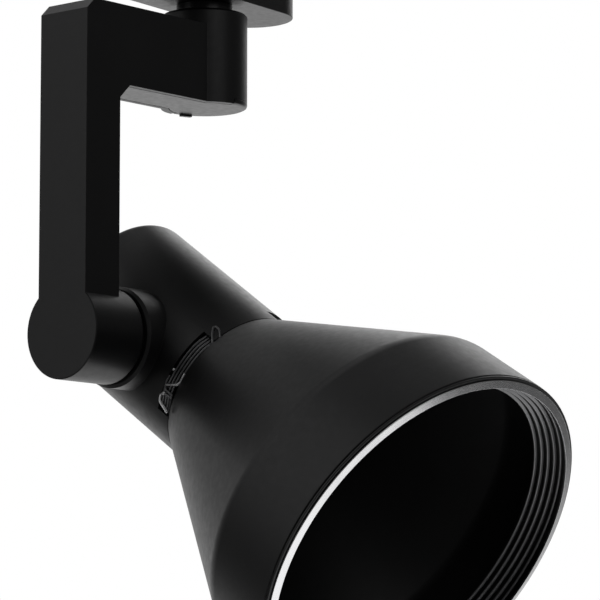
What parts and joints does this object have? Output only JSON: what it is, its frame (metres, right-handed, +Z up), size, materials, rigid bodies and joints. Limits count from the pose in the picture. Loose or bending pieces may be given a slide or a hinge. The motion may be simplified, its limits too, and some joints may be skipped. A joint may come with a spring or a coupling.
{
  "type": "track spotlight",
  "caption": "Black line-voltage track spotlight: track adapter, swivelling one-sided L arm and tilting lamp head with a flared shade and ridged front ring.",
  "frame": {"origin": "where the swivel axis meets the underside of the track, in the middle of the adapter's seat", "axes": "+Z up into the track, along the swivel axis; X along the track; the arm hangs towards -X and the head shines towards -Y and down at rest"},
  "size_m": [0.1394, 0.2006, 0.3062],
  "materials": {
    "adapter_plastic": "satin black moulded plastic",
    "black_collar": "satin",
    "lock_plastic": "satin",
    "contact_copper": "satin",
    "zinc_steel": "satin",
    "stem_steel": "satin",
    "spring_steel": "polished",
    "nylon": "satin",
    "wire_insulation": "satin",
    "cast_black": "satin black powder coat over cast aluminium",
    "cover_black": "satin",
    "black_screw": "satin black oxide",
    "ground_green": "satin",
    "seal_rubber": "matte",
    "lampholder_ceramic": "satin",
    "shell_brass": "satin",
    "shade_black": "satin black powder coat over spun aluminium",
    "ring_black": "satin"
  },
  "bodies": {
    "adapter": {"adapter_base": "adapter_plastic", "adapter_insert": "adapter_plastic", "live_contact": "contact_copper", "neutral_contact": "contact_copper", "ground_contact": "contact_copper", "adapter_screws": "zinc_steel", "lock_spring": "spring_steel", "swivel_stem": "stem_steel", "stem_top_nut": "zinc_steel", "stem_collar": "black_collar", "stop_washer": "zinc_steel", "swivel_wave_washer": "spring_steel", "swivel_flat_washer": "zinc_steel", "swivel_nut": "zinc_steel", "stem_bushing": "nylon", "adapter_wires": "wire_insulation"},
    "lock": {"lock_tab": "lock_plastic"},
    "arm": {"arm_shell": "cast_black", "arm_cover": "cover_black", "cover_screw": "black_screw", "swivel_friction_washer": "nylon", "arm_wires": "wire_insulation", "ground_screw": "ground_green", "tilt_friction_washer": "nylon"},
    "head": {"tilt_wave_washer": "spring_steel", "tilt_flat_washer": "zinc_steel", "tilt_arm_nut": "zinc_steel", "tilt_tube": "stem_steel", "tilt_head_nut": "zinc_steel", "tilt_seal_ring": "seal_rubber", "tilt_stop_pin": "zinc_steel", "tube_bushing": "nylon", "lamp_housing": "cast_black", "lampholder_bracket": "zinc_steel", "bracket_screws": "zinc_steel", "lampholder_rivets": "zinc_steel", "lampholder_body": "lampholder_ceramic", "screw_shell": "shell_brass", "centre_contact": "contact_copper", "head_wires": "wire_insulation", "retaining_spring": "spring_steel", "shade": "shade_black", "front_ring": "ring_black"}
  },
  "joints": [
    {"name": "lock_press", "type": "slide", "parent": "adapter", "child": "lock", "axis": [0, 0, -1], "range_m": [0, 0.004], "stiffness_N_per_m": 400, "springref_m": -0.002, "deforming": ["lock_spring"]},
    {"name": "swivel", "type": "hinge", "parent": "adapter", "child": "arm", "pos_m": [0, 0, -0.0259], "axis": [0, 0, 1], "range_deg": [-168, 168]},
    {"name": "tilt", "type": "hinge", "parent": "arm", "child": "head", "pos_m": [-0.04968, 0.00566, -0.152], "axis": [0.9936, -0.1132, 0], "range_deg": [-35, 55]}
  ]
}
